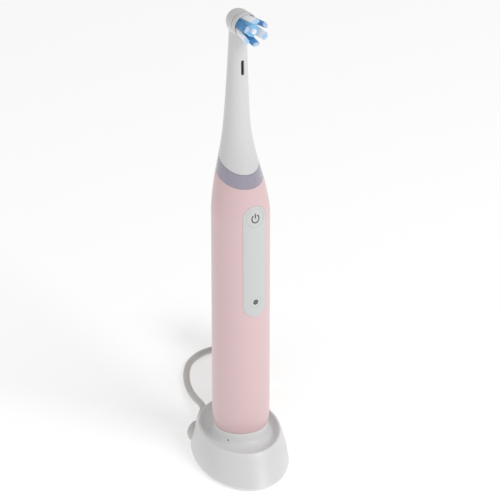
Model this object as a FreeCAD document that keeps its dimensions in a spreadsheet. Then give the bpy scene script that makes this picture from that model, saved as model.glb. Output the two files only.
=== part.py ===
import math
import os
import re

import FreeCAD
import Part
import Sketcher
from FreeCAD import Placement, Rotation, Vector

# Electric toothbrush standing on its charger. Millimetres, +Z up.
# The origin is on the surface that the charger stands on, below the handle's axis.
# The brush's front, with its buttons and bristles, faces -Y.

SIZES = {
    # handle
    "handle_radius": 15.8,
    "handle_bottom": 20.5,
    "handle_foot_radius": 14.9,
    "foot_height": 13.5,
    "shoulder_height": 150,
    "shell_wall": 2.0,
    "shaft_back": 3.2,
    # light ring
    "ring_low": 173.6,
    "ring_high": 181.0,
    "ring_tilt": 18.5,
    "neck_tilt": 24.0,
    # brush head
    "neck_wall": 1.1,
    "head_gap": 0.25,
    "head_height": 262.1,
    "head_radius": 6.65,
    "head_wall": 0.8,
    "head_face": -1.8,
    "dome_back": 1.8,
    "carrier_radius": 6.95,
    "carrier_back": -2.1,
    "carrier_front": -5.3,
    "crank_radius": 2.8,
    "tuft_root": -4.6,
    "tuft_tip": -16.4,
    # control panel
    "panel_low": 94,
    "panel_high": 160.3,
    "panel_half": 7.0,
    "panel_depth": 1.1,
    "power_height": 153.6,
    "power_pad": 5.2,
    "mode_height": 102.8,
    "mode_pad": 3.4,
    "pad_gap": 0.08,
    # charger
    "charger_turn": -16,
    "foot_pad": 0.8,
    "floor_half": 26.0,
    "floor_reach": 40.0,
    "floor_ahead": -3.0,
    "floor_side": -1.5,
    "rim_half": 22.2,
    "rim_reach": 31.0,
    "rim_ahead": 1,
    "rim_side": -0.6,
    "rim_height": 16.7,
    "bowl_floor": 12.2,
    "seat_radius": 15.0,
    "seat_height": 20.3,
    "post_radius": 5.0,
    "post_height": 33.2,
    # power cord
    "lay_turn": -31,
    "cord_radius": 1.9,
    "lug_side": -24.2,
    "lug_back": 9.7,
    "lug_height": 6.2,
    "lug_radius": 5.7,
    "hank_near": 52,
    "hank_far": 88,
    "hank_half": 15.1,
    "hank_low": 0.9,
    "hank_high": 20.7,
    "tie_thick": 0.6,
    "plug_rear": 72,
    "plug_half": 16.5,
    "plug_thick": 13.7,
    "plug_length": 36,
    "pin_radius": 2.0,
    "pin_length": 19.0,
    "pin_spacing": 18.6,
}

doc = FreeCAD.newDocument("toothbrush")
sheet = doc.addObject("Spreadsheet::Sheet", "sizes")
for row, (alias, value) in enumerate(SIZES.items(), 1):
    sheet.set(f"A{row}", alias.replace("_", " "))
    sheet.set(f"B{row}", str(value))
    sheet.setAlias(f"B{row}", alias)
doc.recompute()

pieces = []


# ---------------------------------------------------------------- helpers


def full(words):
    """An expression with each size's name sent to the sheet."""
    return re.sub(r"[a-z_]+", lambda m: f"sizes.{m[0]}" if m[0] in SIZES else m[0], str(words))


def number(words):
    """The value of an expression, in millimetres or degrees."""
    found = sheet.evalExpression(full(words))
    return float(getattr(found, "Value", found))


def bind(item, **sizes):
    for name, words in sizes.items():
        item.setExpression(name.replace("__", "."), full(words))


def place(item, x=0, y=0, z=0):
    bind(item, Placement__Base__x=x, Placement__Base__y=y, Placement__Base__z=z)


def turn(item, angle, axis=Vector(0, 0, 1), about=Vector(0, 0, 0)):
    """Turns an item that is already placed by numbers, about an axis through a point."""
    spin = Placement(Vector(), Rotation(axis, angle), about)
    item.Placement = spin.multiply(item.Placement)


def cylinder(name, radius, height, x=0, y=0, z=0):
    item = doc.addObject("Part::Cylinder", name)
    bind(item, Radius=radius, Height=height)
    place(item, x, y, z)
    return item


def forward(name, radius, start, length, x=0, z=0):
    """A cylinder that runs from y = start towards -Y."""
    item = doc.addObject("Part::Cylinder", name)
    item.Placement.Rotation = Rotation(Vector(1, 0, 0), 90)
    bind(item, Radius=radius, Height=length)
    place(item, x, start, z)
    return item


def ball(name, radius, x=0, y=0, z=0):
    item = doc.addObject("Part::Sphere", name)
    bind(item, Radius=radius)
    place(item, x, y, z)
    return item


def cone(name, low_radius, high_radius, height, x=0, y=0, z=0):
    item = doc.addObject("Part::Cone", name)
    bind(item, Radius1=low_radius, Radius2=high_radius, Height=height)
    place(item, x, y, z)
    return item


def block(name, wide, deep, high, x=0, y=0, z=0):
    """A box centred on x and y, standing on z."""
    item = doc.addObject("Part::Box", name)
    bind(item, Length=wide, Width=deep, Height=high)
    place(item, f"{x} - ({wide}) / 2", f"{y} - ({deep}) / 2", z)
    return item


def tube(name, outer, inner, height, y=0, z=0):
    return cut(
        name,
        cylinder(name + "_outside", outer, height, 0, y, z),
        cylinder(name + "_inside", inner, f"{height} + 2", 0, y, f"{z} - 1"),
    )


def fuse(name, *items):
    item = doc.addObject("Part::MultiFuse", name)
    item.Shapes = list(items)
    return item


def cut(name, base, *tools):
    item = doc.addObject("Part::Cut", name)
    item.Base = base
    item.Tool = tools[0] if len(tools) == 1 else fuse(name + "_tools", *tools)
    return item


def common(name, one, other):
    item = doc.addObject("Part::Common", name)
    item.Base = one
    item.Tool = other
    return item


def group(name, *items):
    """Identical or matching solids that share one node."""
    item = doc.addObject("Part::Compound", name)
    item.Links = list(items)
    return item


def loft(name, sections):
    item = doc.addObject("Part::Loft", name)
    item.Sections = sections
    item.Solid = True
    item.Ruled = len(sections) == 2
    return item


def round_loft(name, sections):
    """A loft through level circles, each given as (height, radius, distance back)."""
    rings = []
    for count, (high, radius, back) in enumerate(sections):
        ring = doc.addObject("Part::Circle", f"{name}_ring{count}")
        bind(ring, Radius=radius)
        place(ring, 0, back, high)
        rings.append(ring)
    return loft(name, rings)


def oval_loft(name, sections):
    """A loft through level ovals, each given as (height, half width, half length, centre y, centre x)."""
    ovals = []
    for count, (high, half, reach, ahead, side) in enumerate(sections):
        oval = doc.addObject("Part::Ellipse", f"{name}_oval{count}")
        oval.Placement.Rotation = Rotation(Vector(0, 0, 1), 90)
        bind(oval, MajorRadius=reach, MinorRadius=half)
        place(oval, side, ahead, high)
        ovals.append(oval)
    return loft(name, ovals)


def outline(sketch, corners):
    """A closed outline of straight sides, each corner held by two named sizes."""
    spots = [Vector(number(across), number(up), 0) for across, up in corners]
    sides = zip(spots, spots[1:] + spots[:1])
    sketch.addGeometry([Part.LineSegment(a, b) for a, b in sides])
    for side in range(len(corners)):
        sketch.addConstraint(Sketcher.Constraint("Coincident", side, 2, (side + 1) % len(corners), 1))
    for side, (corner, spot) in enumerate(zip(corners, spots)):
        for kind, axis, words, value in (
            ("DistanceX", -2, corner[0], spot.x),
            ("DistanceY", -1, corner[1], spot.y),
        ):
            if value == 0:
                sketch.addConstraint(Sketcher.Constraint("PointOnObject", side, 1, axis))
                continue
            held = sketch.addConstraint(Sketcher.Constraint(kind, -1, 1, side, 1, value))
            sketch.setExpression(f"Constraints[{held}]", full(words))


def drawn(body, name, role, corners):
    sketch = body.newObject("Sketcher::SketchObject", name)
    plane = next(f for f in body.Origin.OriginFeatures if f.Role == role)
    sketch.AttachmentSupport = [(plane, "")]
    sketch.MapMode = "FlatFace"
    outline(sketch, corners)
    return sketch


def turned(name, corners, y=0):
    """A body of revolution about a vertical axis; corners are (radius, height)."""
    body = doc.addObject("PartDesign::Body", name)
    sketch = drawn(body, name + "_outline", "XZ_Plane", corners)
    spun = body.newObject("PartDesign::Revolution", name + "_turned")
    spun.Profile = sketch
    spun.ReferenceAxis = (sketch, ["V_Axis"])
    spun.Angle = 360
    place(body, 0, y, 0)
    return body


def padded(name, role, corners, length, x=0, y=0, z=0):
    """A body with one flat outline given a thickness along its plane's normal."""
    body = doc.addObject("PartDesign::Body", name)
    sketch = drawn(body, name + "_outline", role, corners)
    pad = body.newObject("PartDesign::Pad", name + "_pad")
    pad.Profile = sketch
    bind(pad, Length=length)
    place(body, x, y, z)
    return body


def rectangle(wide, high):
    return [
        (f"-({wide}) / 2", f"-({high}) / 2"),
        (f"({wide}) / 2", f"-({high}) / 2"),
        (f"({wide}) / 2", f"({high}) / 2"),
        (f"-({wide}) / 2", f"({high}) / 2"),
    ]


def piece(name, item):
    """Marks an item as one node of the model."""
    item.Label = name
    pieces.append(item)
    return item


# ---------------------------------------------------------------- shared forms

# The shoulder and neck narrow and lean back together: (height, radius, distance back).
SHOULDER = [
    ("shoulder_height", "handle_radius", 0),
    (158, 15.3, 0.5),
    (166, 14.1, 1.2),
    (174, 12.5, 2.1),
    (182, 10.6, 3.0),
    (190, 8.95, 3.5),
    (198, 7.75, 3.75),
    (208, 6.85, 3.75),
    (224, 6.0, 3.3),
    (240, 5.3, 2.9),
    (252, 4.9, 2.5),
    (260, 4.8, 2.2),
]
FOOT = [
    ("handle_bottom", "handle_foot_radius", 0),
    ("handle_bottom + 2.5", "handle_foot_radius + 0.45", 0),
    ("handle_bottom + 7", "handle_radius - 0.1", 0),
    ("handle_bottom + foot_height", "handle_radius", 0),
]


def thinner(sections, wall):
    return [(high, f"{radius} - {wall}", back) for high, radius, back in sections]


def slab(name, low, thick, tilt="ring_tilt"):
    """A slab across the handle that slants upwards towards the back."""
    wide = 80
    item = doc.addObject("Part::Box", name)
    item.Length = wide
    item.Width = wide
    item.Placement = Placement(Vector(-wide / 2, -wide / 2, 0), Rotation())
    turn(item, number(tilt), Vector(1, 0, 0))
    item.Placement.Base.z += number(low)
    bind(item, Height=thick)
    return item


def capsule(name, half, low, high, start, depth):
    """An upright strip with round ends, running from y = start towards -Y."""
    return fuse(
        name,
        forward(name + "_top", half, start, depth, 0, f"{high} - ({half})"),
        forward(name + "_foot", half, start, depth, 0, f"{low} + ({half})"),
        block(
            name + "_middle",
            f"2 * ({half})",
            depth,
            f"{high} - ({low}) - 2 * ({half})",
            0,
            f"{start} - ({depth}) / 2",
            f"{low} + ({half})",
        ),
    )


skin = round_loft("shoulder_skin", SHOULDER)
foot = round_loft("foot_skin", FOOT)
barrel = cylinder(
    "barrel", "handle_radius", "shoulder_height - handle_bottom - foot_height", 0, 0,
    "handle_bottom + foot_height",
)


# ---------------------------------------------------------------- handle


def front_form(name, grow):
    """The upper handle's solid form, with its skin moved out by a distance."""
    return fuse(
        name,
        cylinder(name + "_barrel", f"handle_radius + ({grow})", "shoulder_height - 80", 0, 0, 80),
        round_loft(name + "_shoulder", thinner(SHOULDER[:4], f"(-({grow}))")),
    )


def make_shell():
    solid = fuse("shell_solid", foot, barrel, skin)
    hollow = fuse(
        "shell_hollow",
        cylinder("shell_bore", "handle_radius - shell_wall", "shoulder_height - handle_bottom + 2", 0, 0,
                 "handle_bottom - 2"),
        round_loft("shell_shoulder_hollow", thinner(SHOULDER[:6], "shell_wall")),
    )
    recess = cut(
        "panel_recess",
        capsule("panel_room", "panel_half + 0.05", "panel_low - 0.05", "panel_high + 0.05", -8, 12),
        front_form("panel_bed", "-panel_depth"),
    )
    windows = [
        forward("power_window", "power_pad - 0.6", -8, 12, 0, "power_height"),
        forward("mode_window", "mode_pad - 0.6", -8, 12, 0, "mode_height"),
    ]
    above = slab("above_shell", "ring_low", 120)
    return piece("handle_shell", cut("handle_shell", solid, hollow, recess, above, *windows))


def make_panel():
    face = common(
        "panel_face",
        capsule("panel_form", "panel_half", "panel_low", "panel_high", -8, 12),
        front_form("panel_skin", 0.05),
    )
    strip = cut("panel_strip", face, front_form("panel_back", "0.05 - panel_depth"))
    piece(
        "control_panel",
        cut(
            "control_panel",
            strip,
            forward("power_hole", "power_pad + pad_gap", -8, 12, 0, "power_height"),
            forward("mode_hole", "mode_pad + pad_gap", -8, 12, 0, "mode_height"),
        ),
    )
    make_button("power_button", "power_pad", "power_height", 6, 0.4)
    make_button("mode_button", "mode_pad", "mode_height", 0, 0)


def make_button(name, pad, high, lean, sink):
    """A round button; its curved face leans back with the shoulder and its stem passes the shell."""
    skins = []
    faces = (("_front", "handle_radius + 0.25"), ("_back", "handle_radius + 0.65 - panel_depth"))
    for label, radius in faces:
        round_bar = cylinder(name + label, radius, 40)
        round_bar.Placement.Rotation = Rotation(Vector(1, 0, 0), -lean)
        reach = 20 * math.sin(math.radians(lean))
        place(round_bar, 0, sink - reach, f"{high} - 20")
        skins.append(round_bar)
    face = cut(name + "_face", forward(name + "_round", pad, -8, 12, 0, high), skins[1])
    stem = forward(name + "_stem", f"{pad} - 1.6", -13.05, 5, 0, high)
    piece(name, common(name, fuse(name + "_form", face, stem), skins[0]))


def make_ring():
    band = common("ring_band", skin, slab("ring_slab", "ring_low + 0.05", 20))
    bore = cylinder("ring_bore", 8.75, 40, 0, "shaft_back", 160)
    piece("light_ring", cut("light_ring", band, bore, slab("above_band", "ring_high", 60, "neck_tilt")))


def make_nose():
    piece(
        "handle_nose",
        turned(
            "handle_nose",
            [
                (2.5, 164),
                (10, 164),
                (10, 167),
                (8.0, 167),
                (8.0, 171.2),
                (7.3, 171.2),
                (7.3, 172.8),
                (8.0, 172.8),
                (8.0, 182),
                (5.0, 190),
                (4.3, 192),
                (4.3, 207.4),
                (3.8, 208),
                (3.1, 208),
                (3.1, 204),
                (2.5, 204),
            ],
            "shaft_back",
        ),
    )
    seal = doc.addObject("Part::Torus", "nose_seal")
    seal.Radius1 = 8.0
    seal.Radius2 = 0.68
    place(seal, 0, "shaft_back", 172)
    piece("nose_seal", seal)
    piece("shaft_seal", tube("shaft_seal", 3.05, 2.06, 3.6, "shaft_back", 204.1))


def make_base_cap():
    piece(
        "base_cap",
        turned(
            "base_cap",
            [
                (5.5, "handle_bottom"),
                (13.7, "handle_bottom"),
                (13.7, 25.4),
                (12.9, 25.4),
                (12.9, 27.2),
                (13.7, 27.2),
                (13.7, 29),
                (12.2, 29),
                (12.2, 23.2),
                (6.7, 23.2),
                (6.7, 36.2),
                (0, 36.2),
                (0, 34.9),
                (5.5, 34.9),
            ],
        ),
    )
    seal = doc.addObject("Part::Torus", "base_seal")
    seal.Radius1 = 13.3
    seal.Radius2 = 0.4
    seal.Placement.Base.z = 26.3
    piece("base_seal", seal)
    piece(
        "charge_bobbin",
        turned(
            "charge_bobbin",
            [
                (6.8, 23.4), (11.8, 23.4), (11.8, 24.4), (7.8, 24.4),
                (7.8, 33), (11.8, 33), (11.8, 34), (6.8, 34),
            ],
        ),
    )
    piece("charge_coil", tube("charge_coil", 11.2, 7.85, 8.5, 0, 24.45))


def make_chassis():
    """A half tube along the handle's back with two cross walls; the board lies across its front."""
    back = cut(
        "chassis_back",
        tube("chassis_tube", 13.5, 12.8, 116, 0, 37),
        block("chassis_front", 40, 30, 140, 0, -11, 30),
    )
    walls = []
    for count, high in enumerate((37, 92.5, 152.5)):
        wall = cylinder(f"chassis_wall{count}", 13, 2.5, 0, 0, high)
        ahead = block(f"chassis_ahead{count}", 40, 20, 10, 0, -17.4, f"{high} - 3")
        walls.append(cut(f"chassis_plate{count}", wall, ahead))
    hole = cylinder("chassis_hole", 3.0, 100, 0, "shaft_back", 90)
    piece("chassis", cut("chassis", fuse("chassis_body", back, *walls), hole))


def make_power_parts():
    cell = turned(
        "battery_cell",
        [(0, 40), (7.1, 40), (7.1, 89.2), (3.2, 89.2), (3.2, 90.4), (0, 90.4)],
        4.5,
    )
    piece("battery_cell", cell)
    low = block("contact_low", 6, 5, 0.4, 0, 4.5, 39.55)
    high = block("contact_high", 6, 5, 0.4, 0, 4.5, 90.45)
    piece("battery_contacts", group("battery_contacts", low, high))


def make_boards():
    front = "-8.4"
    piece("main_board", padded("main_board", "XZ_Plane", rectangle(17, 118), 1.2, 0, front, 100))
    chips = []
    for count, (across, high, wide, tall) in enumerate(
        ((0, 128, 7, 7), (-4, 117, 4, 5), (4.5, 114, 3, 4), (0, 84, 6, 8), (-5, 72, 3, 5), (4, 66, 5, 4))
    ):
        chips.append(block(f"chip{count}", wide, 1.1, tall, across, -10.15, high))
    piece("board_chips", group("board_chips", *chips))
    switches = []
    for name, high in (("power", "power_height"), ("mode", "mode_height")):
        case = block(f"{name}_switch_case", 5, 1.6, 5, 0, -10.4, f"{high} - 2.5")
        plunger = forward(f"{name}_switch_plunger", 1.2, -11.2, 1.1, 0, high)
        switches.append(fuse(f"{name}_switch", case, plunger))
    piece("tact_switches", group("tact_switches", *switches))
    piece("led_board", tube("led_board", 9.8, 8.15, 1.0, "shaft_back", 167.6))
    lamps = []
    for count in range(6):
        lamp = doc.addObject("Part::Box", f"lamp{count}")
        bind(lamp, Length=1.5, Width=1.3, Height=0.9)
        lamp.Placement = Placement(Vector(-0.75, 8.35, 168.6), Rotation())
        turn(lamp, 30 + 60 * count)
        lamp.Placement.Base.y += number("shaft_back")
        lamps.append(lamp)
    piece("ring_leds", group("ring_leds", *lamps))


def make_motor():
    piece(
        "motor_housing",
        turned(
            "motor_housing",
            [(2.8, 97), (9.4, 97), (9.4, 152), (2.8, 152), (2.8, 151), (8.5, 151), (8.5, 98), (2.8, 98)],
            "shaft_back",
        ),
    )
    piece("motor_coil", tube("motor_coil", 8.45, 6.5, 20, "shaft_back", 114))
    springs = [tube(f"leaf_spring{count}", 8.45, 2.4, 0.35, "shaft_back", high) for count, high in
               enumerate((100.5, 102.5, 146.5, 148.5))]
    piece("motor_springs", group("motor_springs", *springs))
    piece(
        "drive_shaft",
        turned("drive_shaft", [(0, 99.6), (2, 99.6), (2, 211.4), (1.6, 212), (0, 212)], "shaft_back"),
    )
    piece("motor_armature", tube("motor_armature", 4.6, 2.0, 38, "shaft_back", 105))
    magnets = [
        tube(f"magnet{count}", 6.0, 4.6, 8, "shaft_back", high) for count, high in enumerate((113, 127))
    ]
    piece("motor_magnets", group("motor_magnets", *magnets))


# ---------------------------------------------------------------- brush head


def make_neck():
    above = slab("above_ring", "ring_high + head_gap", 120, "neck_tilt")
    drum = forward("head_drum", "head_radius", "dome_back", "dome_back - (head_face)", 0, "head_height")
    dome = ball("head_dome", "head_radius", 0, "dome_back", "head_height")
    behind = block("behind_drum", 40, 30, 40, 0, "dome_back + 15", "head_height - 20")
    solid = fuse("neck_solid", common("neck_skin", skin, above), drum, common("head_back", dome, behind))
    inside = "head_radius - head_wall"
    room = ball("head_room", inside, 0, "dome_back", "head_height")
    hollow = fuse(
        "neck_hollow",
        round_loft("neck_bore", thinner(SHOULDER[3:], "neck_wall")),
        common("room_back", room, behind),
        forward("drum_bore", inside, "dome_back", "dome_back - (head_face) + 1", 0, "head_height"),
    )
    boss = forward("pin_boss", 1.7, "dome_back + head_radius - 0.6", 3.2, 0, "head_height")
    slot = capsule("drain_slot", 0.9, 232.4, 240.9, 1, 6)
    shell = fuse("neck_shell", cut("neck_open", solid, hollow, slot), boss)
    hole = forward("pin_hole", 0.8, "dome_back + head_radius - 1.2", 4, 0, "head_height")
    round_carrier = forward("carrier_room", "carrier_radius + 0.3", "head_face", 12, 0, "head_height")
    piece("brush_neck", cut("brush_neck", shell, hole, round_carrier))
    pin_start = "dome_back + head_radius - 1.2"
    piece(
        "carrier_pin",
        forward("carrier_pin", 0.8, pin_start, f"{pin_start} - (carrier_front) - 1.05", 0, "head_height"),
    )
    insert = common(
        "neck_insert_form",
        round_loft("insert_skin", thinner(SHOULDER[4:8], "neck_wall - 0.02")),
        cylinder("insert_band", 12, 14, 0, 0, 193),
    )
    bore = cylinder("insert_bore", 4.6, 30, 0, "shaft_back", 185)
    piece("neck_insert", cut("neck_insert", insert, bore))


def make_link():
    """The rod that turns the shaft's stroke into the carrier's swing, with a crank pin at its top."""
    piece("link_magnet", cylinder("link_magnet", 3.0, 6, 0, "shaft_back", 212.3))
    arm_top = "head_height - 1.95"
    rod = fuse(
        "link_rod",
        cylinder("rod_stem", 1.0, f"{arm_top} - 218.3", 0, "shaft_back", 218.3),
        block(
            "rod_arm", "crank_radius + 1.3", 1.2, 1.2, "crank_radius / 2", "shaft_back", f"{arm_top} - 1.2"
        ),
        block("rod_finger", 1.3, 1.2, 3.9, "crank_radius", "shaft_back", f"{arm_top} - 1.2"),
        forward("crank_pin", 0.6, "shaft_back", "shaft_back - (carrier_back) + 0.9", "crank_radius",
                "head_height"),
    )
    piece("link_rod", rod)


def make_carrier():
    disc = forward("carrier_disc", "carrier_radius", "carrier_back", "carrier_back - (carrier_front)", 0,
                   "head_height")
    hub = forward("carrier_hub", 1.6, "carrier_back + 1.4", 2, 0, "head_height")
    dish = forward("carrier_dish", "carrier_radius - 0.7", "tuft_root", 3, 0, "head_height")
    bore = forward("carrier_bore", 0.85, 2, 8, 0, "head_height")
    cap = forward("carrier_cap", 1.6, "carrier_front + 0.72", 0.5, 0, "head_height")
    slot = fuse(
        "crank_slot",
        block("crank_slot_middle", 0.6, 2.4, 1.5, "crank_radius", "carrier_back", "head_height - 0.75"),
        forward("crank_slot_in", 0.75, "carrier_back + 1.2", 2.4, "crank_radius - 0.3", "head_height"),
        forward("crank_slot_out", 0.75, "carrier_back + 1.2", 2.4, "crank_radius + 0.3", "head_height"),
    )
    solid = cut("carrier_open", fuse("carrier_solid", disc, hub), dish, bore, slot)
    piece("bristle_carrier", fuse("bristle_carrier", solid, cap))


def tuft(name, angle):
    """One outer tuft: oval, leaning outwards from root to tip, at an angle about the carrier's axis."""
    ends = []
    for end, reach, across, along, forth in (
        ("root", 4.75, 2.3, 1.2, "tuft_root"),
        ("tip", 6.5, 2.1, 1.25, "tuft_tip"),
    ):
        oval = doc.addObject("Part::Ellipse", f"{name}_{end}")
        oval.MajorRadius = across
        oval.MinorRadius = along
        oval.Placement = Placement(Vector(0, number(forth), reach), Rotation(Vector(1, 0, 0), 90))
        turn(oval, angle, Vector(0, 1, 0))
        oval.Placement.Base.z += number("head_height")
        ends.append(oval)
    return loft(name, ends)


def make_tufts():
    for name, first in (("tufts_dark", 60), ("tufts_pale", 0)):
        piece(name, group(name, *[tuft(f"{name}{count}", first + 120 * count) for count in range(3)]))
    whorl = cut(
        "tuft_whorl",
        forward("whorl_outside", 3.3, "tuft_root", 8.8, 0, "head_height"),
        forward("whorl_inside", 1.95, "tuft_root + 1", 12, 0, "head_height"),
    )
    piece("tuft_whorl", whorl)
    core = cut(
        "tuft_core",
        forward("core_solid", 1.85, "tuft_root", 10.4, 0, "head_height"),
        forward("core_foot", 1.65, "tuft_root + 1", 1.5, 0, "head_height"),
    )
    piece("tuft_core", core)


# ---------------------------------------------------------------- charger


SCREW_SIDES = (-18, 18)


def tube_at(name, outer, inner, height, x):
    """A screw post under the bowl's floor, open at the bottom."""
    return cut(
        name,
        cylinder(name + "_outside", outer, height, x, "floor_ahead", 2.6),
        cylinder(name + "_inside", inner, f"{height} - 1.6", x, "floor_ahead", 2),
    )


def make_charger():
    outside = oval_loft(
        "charger_outside",
        [
            ("foot_pad", "floor_half - 0.5", "floor_reach - 0.5", "floor_ahead", "floor_side"),
            ("foot_pad + 1.6", "floor_half", "floor_reach", "floor_ahead", "floor_side"),
            ("rim_height / 2", "(floor_half + rim_half) / 2 + 0.9", "(floor_reach + rim_reach) / 2 + 1.2",
             "(floor_ahead + rim_ahead) / 2", "(floor_side + rim_side) / 2"),
            ("rim_height - 1.1", "rim_half + 0.25", "rim_reach + 0.3", "rim_ahead", "rim_side"),
            ("rim_height", "rim_half - 0.5", "rim_reach - 0.5", "rim_ahead", "rim_side"),
        ],
    )
    inside = oval_loft(
        "charger_inside",
        [
            ("foot_pad - 1", "floor_half - 2.3", "floor_reach - 2.3", "floor_ahead", "floor_side"),
            ("bowl_floor - 2", "(floor_half + rim_half) / 2 - 2.3", "(floor_reach + rim_reach) / 2 - 2.3",
             "(floor_ahead + rim_ahead) / 2", "(floor_side + rim_side) / 2"),
        ],
    )
    bowl = oval_loft(
        "charger_bowl",
        [
            ("bowl_floor", "rim_half - 4.2", "rim_reach - 5", "rim_ahead", "rim_side"),
            ("bowl_floor + 1", "rim_half - 2.9", "rim_reach - 3.3", "rim_ahead", "rim_side"),
            ("rim_height - 0.6", "rim_half - 1.5", "rim_reach - 1.6", "rim_ahead", "rim_side"),
            ("rim_height + 0.5", "rim_half - 0.6", "rim_reach - 0.6", "rim_ahead", "rim_side"),
        ],
    )
    middle = cylinder("charger_middle", "seat_radius - 1", 20, 0, 0, 5)
    tub = cut("charger_tub", outside, bowl, middle)
    seat = turned(
        "charger_seat",
        [
            (0, "post_height"),
            ("post_radius - 0.9", "post_height"),
            ("post_radius", "post_height - 0.9"),
            ("post_radius", 16.4),
            ("seat_radius - 1.6", 16.4),
            ("seat_radius - 1.6", "seat_height"),
            ("seat_radius - 0.4", "seat_height"),
            ("seat_radius", "seat_height - 0.5"),
            ("seat_radius + 0.3", "bowl_floor + 5"),
            ("seat_radius + 1.1", "bowl_floor + 2.4"),
            ("seat_radius + 2.5", "bowl_floor + 0.3"),
            ("seat_radius + 2.5", "bowl_floor - 1.9"),
            ("seat_radius - 1.8", "bowl_floor - 1.9"),
            ("seat_radius - 1.8", 14.6),
            ("post_radius - 0.9", 14.6),
            ("post_radius - 0.9", "post_height - 1"),
            (0, "post_height - 1"),
        ],
    )
    drain = doc.addObject("Part::Cylinder", "seat_drain")
    drain.Radius = 0.45
    drain.Height = 4
    drain.Placement = Placement(Vector(0, 12.5 - 29, 17.3), Rotation(Vector(1, 0, 0), -90))
    turn(drain, -50)
    knob = doc.addObject("Part::Sphere", "lug_knob")
    bind(knob, Radius="lug_radius")
    knob.Placement = Placement(lay("lug_side", "lug_back", "lug_height"), aim())
    turn(knob, -number("charger_turn"))
    sleeve = from_lug("lug_sleeve", "lug_radius - 0.8", 0, 6)
    tunnel = from_lug("lug_tunnel", 3.0, 0.7, 24)
    shell = cut("charger_shell", fuse("charger_form", tub, seat, knob, sleeve), drain, tunnel)
    hollow = cut("charger_hollow", shell, inside)
    posts = [tube_at(f"screw_post{count}", 2.6, 1.15, 8.4, x) for count, x in enumerate(SCREW_SIDES)]
    piece("charger_housing", fuse("charger_housing", hollow, *posts))
    plate = oval_loft(
        "plate_form",
        [
            ("foot_pad", "floor_half - 3.6", "floor_reach - 4.5", "floor_ahead", "floor_side"),
            ("foot_pad + 1.6", "floor_half - 3.6", "floor_reach - 4.5", "floor_ahead", "floor_side"),
        ],
    )
    screw_holes = [cylinder(f"plate_hole{count}", 1.25, 6, x, "floor_ahead", -1) for count, x in
                   enumerate(SCREW_SIDES)]
    piece("charger_plate", cut("charger_plate", plate, *screw_holes))
    pad = oval_loft(
        "pad_form",
        [(0, "floor_half - 5", "floor_reach - 6", "floor_ahead", "floor_side"),
         ("foot_pad", "floor_half - 5", "floor_reach - 6", "floor_ahead", "floor_side")],
    )
    piece("charger_pad", pad)


def make_charger_parts():
    top = "post_height - 1.4"
    piece("charger_core", cylinder("charger_core", 2.4, f"{top} - 6.0", 0, 0, 6.0))
    piece(
        "charger_bobbin",
        turned(
            "charger_bobbin",
            [
                (2.45, 15.5), (4.0, 15.5), (4.0, 16.3), (2.9, 16.3),
                (2.9, 30.2), (4.0, 30.2), (4.0, 31), (2.45, 31),
            ],
        ),
    )
    piece("charger_coil", tube("charger_coil", 3.9, 2.95, 13.8, 0, 16.35))
    board = cut(
        "charger_board",
        block("board_form", 26, 48, 1.2, 0, "floor_ahead - 2", 3.4),
        cylinder("board_hole", 2.0, 6, 9, 10, 1),
    )
    piece("charger_board", board)
    cans = [cylinder(f"can{count}", radius, high, x, y, 4.6) for count, (radius, high, x, y) in
            enumerate(((3.5, 5.2, -6, -21), (2.5, 5.0, 4, -23), (2.0, 4.0, 8, -15)))]
    piece("charger_capacitors", group("charger_capacitors", *cans))
    chips = [block(f"charger_chip{count}", wide, deep, 1.4, x, y, 4.6) for count, (wide, deep, x, y) in
             enumerate(((5, 6, -6, 8), (4, 3, 3, 11), (3, 2, -1, -13)))]
    piece("charger_chips", group("charger_chips", *chips))
    screws = [cylinder(f"charger_screw{count}", 1.1, 7.4, x, "floor_ahead", "foot_pad") for count, x in
              enumerate(SCREW_SIDES)]
    piece("charger_screws", group("charger_screws", *screws))


# ---------------------------------------------------------------- power cord

# Places along the cord are (side, back, height): side is to the right and back is away,
# seen along the direction in which the cord leaves the lug.


def lay(side, back, high):
    angle = math.radians(number("lay_turn"))
    across, away = number(side), number(back)
    return Vector(
        across * math.cos(angle) - away * math.sin(angle),
        across * math.sin(angle) + away * math.cos(angle),
        number(high),
    )


def from_lug(name, radius, start, length):
    """A round bar from the lug along the cord's first direction, in the charger's own frame."""
    item = doc.addObject("Part::Cylinder", name)
    bind(item, Radius=radius, Height=length)
    heading = aim().multVec(Vector(0, 0, 1))
    item.Placement = Placement(lay("lug_side", "lug_back", "lug_height") + heading * start, aim())
    turn(item, -number("charger_turn"))
    return item


EXIT_LEAN = 6


def aim():
    """The rotation that points +Z along the cord's first direction."""
    heading = number("lay_turn") - EXIT_LEAN
    return Rotation(Vector(0, 0, 1), heading).multiply(Rotation(Vector(1, 0, 0), -90))


# The loose stretch from the strain relief to the hank, as (side, back, height).
LOOSE = [
    (-22.02, 30.48, 6.2),
    (-21.2, 38.4, 5.5),
    (-24.3, 47.4, 3.9),
    (-28.2, 57.5, 2.5),
    (-31.0, 69.0, 1.95),
    (-31.8, 82.0, 1.95),
    (-29.5, 95.0, 1.95),
    (-20.5, 106.5, 1.95),
    (-5.0, 110.5, 2.1),
    (8.5, 101.7, 2.8),
]
# The last stretch, from the top of the hank into the plug.
TAIL = [
    (-12.2, 49.0, 20.4),
    (-10.6, 56.0, 22.2),
    (-5.0, 62.5, 26.2),
    (-0.4, 69.5, 28.0),
    (0.0, 76.6, 28.15),
]


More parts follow.
